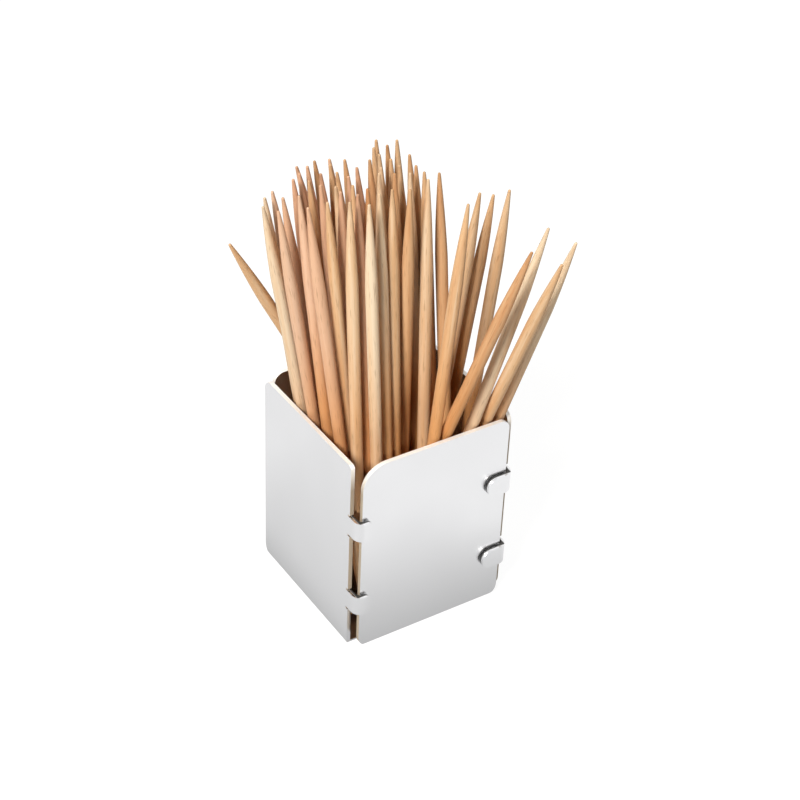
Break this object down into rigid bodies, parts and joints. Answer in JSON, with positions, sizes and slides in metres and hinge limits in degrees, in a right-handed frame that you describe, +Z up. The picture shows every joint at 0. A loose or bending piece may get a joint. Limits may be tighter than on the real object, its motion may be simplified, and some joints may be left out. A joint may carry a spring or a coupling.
{
  "type": "toothpick dispenser",
  "caption": "Small square open-topped holder folded from one bright steel sheet and locked by hooked tabs, with round double-pointed wooden toothpicks standing in it.",
  "frame": {"origin": "centre of the holder's underside, the flat face that it stands on", "axes": "+Z up; the plain front wall, which the tabs lap onto, faces -Y, and the side walls face -X and +X"},
  "size_m": [0.0338, 0.0351, 0.0656],
  "materials": {
    "stainless_sheet": "bright stainless sheet with a soft satin sheen and bare cut edges",
    "plain_wood": "unfinished pale wood with fine grain along the toothpick"
  },
  "bodies": {
    "holder": {"folded_holder": "stainless_sheet"},
    "toothpick_01": {"toothpick_01": "plain_wood"},
    "toothpick_02": {"toothpick_02": "plain_wood"},
    "toothpick_03": {"toothpick_03": "plain_wood"},
    "toothpick_04": {"toothpick_04": "plain_wood"},
    "toothpick_05": {"toothpick_05": "plain_wood"},
    "toothpick_06": {"toothpick_06": "plain_wood"},
    "toothpick_07": {"toothpick_07": "plain_wood"},
    "toothpick_08": {"toothpick_08": "plain_wood"},
    "toothpick_09": {"toothpick_09": "plain_wood"},
    "toothpick_10": {"toothpick_10": "plain_wood"},
    "toothpick_11": {"toothpick_11": "plain_wood"},
    "toothpick_12": {"toothpick_12": "plain_wood"},
    "toothpick_13": {"toothpick_13": "plain_wood"},
    "toothpick_14": {"toothpick_14": "plain_wood"},
    "toothpick_15": {"toothpick_15": "plain_wood"},
    "toothpick_16": {"toothpick_16": "plain_wood"},
    "toothpick_17": {"toothpick_17": "plain_wood"},
    "toothpick_18": {"toothpick_18": "plain_wood"},
    "toothpick_19": {"toothpick_19": "plain_wood"},
    "toothpick_20": {"toothpick_20": "plain_wood"},
    "toothpick_21": {"toothpick_21": "plain_wood"},
    "toothpick_22": {"toothpick_22": "plain_wood"},
    "toothpick_23": {"toothpick_23": "plain_wood"},
    "toothpick_24": {"toothpick_24": "plain_wood"},
    "toothpick_25": {"toothpick_25": "plain_wood"},
    "toothpick_26": {"toothpick_26": "plain_wood"},
    "toothpick_27": {"toothpick_27": "plain_wood"},
    "toothpick_28": {"toothpick_28": "plain_wood"},
    "toothpick_29": {"toothpick_29": "plain_wood"},
    "toothpick_30": {"toothpick_30": "plain_wood"},
    "toothpick_31": {"toothpick_31": "plain_wood"},
    "toothpick_32": {"toothpick_32": "plain_wood"},
    "toothpick_33": {"toothpick_33": "plain_wood"},
    "toothpick_34": {"toothpick_34": "plain_wood"},
    "toothpick_35": {"toothpick_35": "plain_wood"},
    "toothpick_36": {"toothpick_36": "plain_wood"},
    "toothpick_37": {"toothpick_37": "plain_wood"},
    "toothpick_38": {"toothpick_38": "plain_wood"},
    "toothpick_39": {"toothpick_39": "plain_wood"},
    "toothpick_40": {"toothpick_40": "plain_wood"},
    "toothpick_41": {"toothpick_41": "plain_wood"},
    "toothpick_42": {"toothpick_42": "plain_wood"},
    "toothpick_43": {"toothpick_43": "plain_wood"},
    "toothpick_44": {"toothpick_44": "plain_wood"},
    "toothpick_45": {"toothpick_45": "plain_wood"},
    "toothpick_46": {"toothpick_46": "plain_wood"},
    "toothpick_47": {"toothpick_47": "plain_wood"},
    "toothpick_48": {"toothpick_48": "plain_wood"},
    "toothpick_49": {"toothpick_49": "plain_wood"},
    "toothpick_50": {"toothpick_50": "plain_wood"},
    "toothpick_51": {"toothpick_51": "plain_wood"},
    "toothpick_52": {"toothpick_52": "plain_wood"},
    "toothpick_53": {"toothpick_53": "plain_wood"},
    "toothpick_54": {"toothpick_54": "plain_wood"},
    "toothpick_55": {"toothpick_55": "plain_wood"},
    "toothpick_56": {"toothpick_56": "plain_wood"},
    "toothpick_57": {"toothpick_57": "plain_wood"},
    "toothpick_58": {"toothpick_58": "plain_wood"}
  },
  "joints": [
    {"name": "toothpick_01_lift", "type": "slide", "parent": "holder", "child": "toothpick_01", "axis": [-0.4704, -0.0818, 0.8787], "range_m": [0, 0.066]},
    {"name": "toothpick_02_lift", "type": "slide", "parent": "holder", "child": "toothpick_02", "axis": [-0.2029, -0.0569, 0.9775], "range_m": [0, 0.066]},
    {"name": "toothpick_03_lift", "type": "slide", "parent": "holder", "child": "toothpick_03", "axis": [-0.1994, -0.0361, 0.9792], "range_m": [0, 0.066]},
    {"name": "toothpick_04_lift", "type": "slide", "parent": "holder", "child": "toothpick_04", "axis": [-0.1811, -0.0419, 0.9826], "range_m": [0, 0.066]},
    {"name": "toothpick_05_lift", "type": "slide", "parent": "holder", "child": "toothpick_05", "axis": [-0.1775, -0.0134, 0.984], "range_m": [0, 0.066]},
    {"name": "toothpick_06_lift", "type": "slide", "parent": "holder", "child": "toothpick_06", "axis": [-0.1002, 0.054, 0.9935], "range_m": [0, 0.066]},
    {"name": "toothpick_07_lift", "type": "slide", "parent": "holder", "child": "toothpick_07", "axis": [-0.1154, 0.0558, 0.9917], "range_m": [0, 0.066]},
    {"name": "toothpick_08_lift", "type": "slide", "parent": "holder", "child": "toothpick_08", "axis": [-0.0946, 0.027, 0.9952], "range_m": [0, 0.066]},
    {"name": "toothpick_09_lift", "type": "slide", "parent": "holder", "child": "toothpick_09", "axis": [-0.0213, 0.0561, 0.9982], "range_m": [0, 0.066]},
    {"name": "toothpick_10_lift", "type": "slide", "parent": "holder", "child": "toothpick_10", "axis": [-0.029, 0.0542, 0.9981], "range_m": [0, 0.066]},
    {"name": "toothpick_11_lift", "type": "slide", "parent": "holder", "child": "toothpick_11", "axis": [-0.1496, 0.0096, 0.9887], "range_m": [0, 0.066]},
    {"name": "toothpick_12_lift", "type": "slide", "parent": "holder", "child": "toothpick_12", "axis": [-0.1589, 0.0249, 0.987], "range_m": [0, 0.066]},
    {"name": "toothpick_13_lift", "type": "slide", "parent": "holder", "child": "toothpick_13", "axis": [-0.1588, 0.0497, 0.9861], "range_m": [0, 0.066]},
    {"name": "toothpick_14_lift", "type": "slide", "parent": "holder", "child": "toothpick_14", "axis": [-0.1626, 0.0287, 0.9863], "range_m": [0, 0.066]},
    {"name": "toothpick_15_lift", "type": "slide", "parent": "holder", "child": "toothpick_15", "axis": [-0.1288, 0.0404, 0.9909], "range_m": [0, 0.066]},
    {"name": "toothpick_16_lift", "type": "slide", "parent": "holder", "child": "toothpick_16", "axis": [-0.125, 0.0308, 0.9917], "range_m": [0, 0.066]},
    {"name": "toothpick_17_lift", "type": "slide", "parent": "holder", "child": "toothpick_17", "axis": [-0.1307, 0.0327, 0.9909], "range_m": [0, 0.066]},
    {"name": "toothpick_18_lift", "type": "slide", "parent": "holder", "child": "toothpick_18", "axis": [-0.1345, 0.0307, 0.9904], "range_m": [0, 0.066]},
    {"name": "toothpick_19_lift", "type": "slide", "parent": "holder", "child": "toothpick_19", "axis": [-0.1098, 0.0405, 0.9931], "range_m": [0, 0.066]},
    {"name": "toothpick_20_lift", "type": "slide", "parent": "holder", "child": "toothpick_20", "axis": [-0.1213, 0.0231, 0.9924], "range_m": [0, 0.066]},
    {"name": "toothpick_21_lift", "type": "slide", "parent": "holder", "child": "toothpick_21", "axis": [-0.102, 0.0655, 0.9926], "range_m": [0, 0.066]},
    {"name": "toothpick_22_lift", "type": "slide", "parent": "holder", "child": "toothpick_22", "axis": [-0.0658, 0.0174, 0.9977], "range_m": [0, 0.066]},
    {"name": "toothpick_23_lift", "type": "slide", "parent": "holder", "child": "toothpick_23", "axis": [-0.0522, 0.0619, 0.9967], "range_m": [0, 0.066]},
    {"name": "toothpick_24_lift", "type": "slide", "parent": "holder", "child": "toothpick_24", "axis": [-0.029, 0.0696, 0.9972], "range_m": [0, 0.066]},
    {"name": "toothpick_25_lift", "type": "slide", "parent": "holder", "child": "toothpick_25", "axis": [-0.029, 0.0696, 0.9972], "range_m": [0, 0.066]},
    {"name": "toothpick_26_lift", "type": "slide", "parent": "holder", "child": "toothpick_26", "axis": [-0.0193, 0.0754, 0.997], "range_m": [0, 0.066]},
    {"name": "toothpick_27_lift", "type": "slide", "parent": "holder", "child": "toothpick_27", "axis": [-0.0792, 0.0406, 0.996], "range_m": [0, 0.066]},
    {"name": "toothpick_28_lift", "type": "slide", "parent": "holder", "child": "toothpick_28", "axis": [-0.0888, 0.0386, 0.9953], "range_m": [0, 0.066]},
    {"name": "toothpick_29_lift", "type": "slide", "parent": "holder", "child": "toothpick_29", "axis": [-0.0869, 0.0444, 0.9952], "range_m": [0, 0.066]},
    {"name": "toothpick_30_lift", "type": "slide", "parent": "holder", "child": "toothpick_30", "axis": [-0.087, 0.0077, 0.9962], "range_m": [0, 0.066]},
    {"name": "toothpick_31_lift", "type": "slide", "parent": "holder", "child": "toothpick_31", "axis": [-0.083, 0.0521, 0.9952], "range_m": [0, 0.066]},
    {"name": "toothpick_32_lift", "type": "slide", "parent": "holder", "child": "toothpick_32", "axis": [-0.0792, 0.0425, 0.996], "range_m": [0, 0.066]},
    {"name": "toothpick_33_lift", "type": "slide", "parent": "holder", "child": "toothpick_33", "axis": [-0.0849, 0.0579, 0.9947], "range_m": [0, 0.066]},
    {"name": "toothpick_34_lift", "type": "slide", "parent": "holder", "child": "toothpick_34", "axis": [-0.0946, 0.027, 0.9952], "range_m": [0, 0.066]},
    {"name": "toothpick_35_lift", "type": "slide", "parent": "holder", "child": "toothpick_35", "axis": [-0.0792, 0.0444, 0.9959], "range_m": [0, 0.066]},
    {"name": "toothpick_36_lift", "type": "slide", "parent": "holder", "child": "toothpick_36", "axis": [-0.0484, 0.0368, 0.9982], "range_m": [0, 0.066]},
    {"name": "toothpick_37_lift", "type": "slide", "parent": "holder", "child": "toothpick_37", "axis": [-0.0483, 0.0619, 0.9969], "range_m": [0, 0.066]},
    {"name": "toothpick_38_lift", "type": "slide", "parent": "holder", "child": "toothpick_38", "axis": [-0.0465, 0.0368, 0.9982], "range_m": [0, 0.066]},
    {"name": "toothpick_39_lift", "type": "slide", "parent": "holder", "child": "toothpick_39", "axis": [-0.0155, 0.0581, 0.9982], "range_m": [0, 0.066]},
    {"name": "toothpick_40_lift", "type": "slide", "parent": "holder", "child": "toothpick_40", "axis": [-0.031, -0.0174, 0.9994], "range_m": [0, 0.066]},
    {"name": "toothpick_41_lift", "type": "slide", "parent": "holder", "child": "toothpick_41", "axis": [0.0077, 0.0639, 0.9979], "range_m": [0, 0.066]},
    {"name": "toothpick_42_lift", "type": "slide", "parent": "holder", "child": "toothpick_42", "axis": [-0.029, 0.085, 0.996], "range_m": [0, 0.066]},
    {"name": "toothpick_43_lift", "type": "slide", "parent": "holder", "child": "toothpick_43", "axis": [0.0927, 0.0058, 0.9957], "range_m": [0, 0.066]},
    {"name": "toothpick_44_lift", "type": "slide", "parent": "holder", "child": "toothpick_44", "axis": [-0.036, -0.2122, 0.9766], "range_m": [0, 0.066]},
    {"name": "toothpick_45_lift", "type": "slide", "parent": "holder", "child": "toothpick_45", "axis": [-0.0058, -0.1364, 0.9906], "range_m": [0, 0.066]},
    {"name": "toothpick_46_lift", "type": "slide", "parent": "holder", "child": "toothpick_46", "axis": [0.1366, -0.275, 0.9517], "range_m": [0, 0.066]},
    {"name": "toothpick_47_lift", "type": "slide", "parent": "holder", "child": "toothpick_47", "axis": [0.1223, -0.2089, 0.9703], "range_m": [0, 0.066]},
    {"name": "toothpick_48_lift", "type": "slide", "parent": "holder", "child": "toothpick_48", "axis": [0.0253, -0.36, 0.9326], "range_m": [0, 0.066]},
    {"name": "toothpick_49_lift", "type": "slide", "parent": "holder", "child": "toothpick_49", "axis": [0.0609, -0.3009, 0.9517], "range_m": [0, 0.066]},
    {"name": "toothpick_50_lift", "type": "slide", "parent": "holder", "child": "toothpick_50", "axis": [-0.2426, 0.032, 0.9696], "range_m": [0, 0.066]},
    {"name": "toothpick_51_lift", "type": "slide", "parent": "holder", "child": "toothpick_51", "axis": [-0.1477, 0.0115, 0.989], "range_m": [0, 0.066]},
    {"name": "toothpick_52_lift", "type": "slide", "parent": "holder", "child": "toothpick_52", "axis": [-0.1193, 0.0327, 0.9923], "range_m": [0, 0.066]},
    {"name": "toothpick_53_lift", "type": "slide", "parent": "holder", "child": "toothpick_53", "axis": [-0.1079, 0.0328, 0.9936], "range_m": [0, 0.066]},
    {"name": "toothpick_54_lift", "type": "slide", "parent": "holder", "child": "toothpick_54", "axis": [-0.1863, -0.0665, 0.9802], "range_m": [0, 0.066]},
    {"name": "toothpick_55_lift", "type": "slide", "parent": "holder", "child": "toothpick_55", "axis": [-0.0734, 0.0444, 0.9963], "range_m": [0, 0.066]},
    {"name": "toothpick_56_lift", "type": "slide", "parent": "holder", "child": "toothpick_56", "axis": [-0.0484, 0.0368, 0.9982], "range_m": [0, 0.066]},
    {"name": "toothpick_57_lift", "type": "slide", "parent": "holder", "child": "toothpick_57", "axis": [-0.0445, 0.0619, 0.9971], "range_m": [0, 0.066]},
    {"name": "toothpick_58_lift", "type": "slide", "parent": "holder", "child": "toothpick_58", "axis": [-0.0096, -0.1683, 0.9857], "range_m": [0, 0.066]}
  ]
}
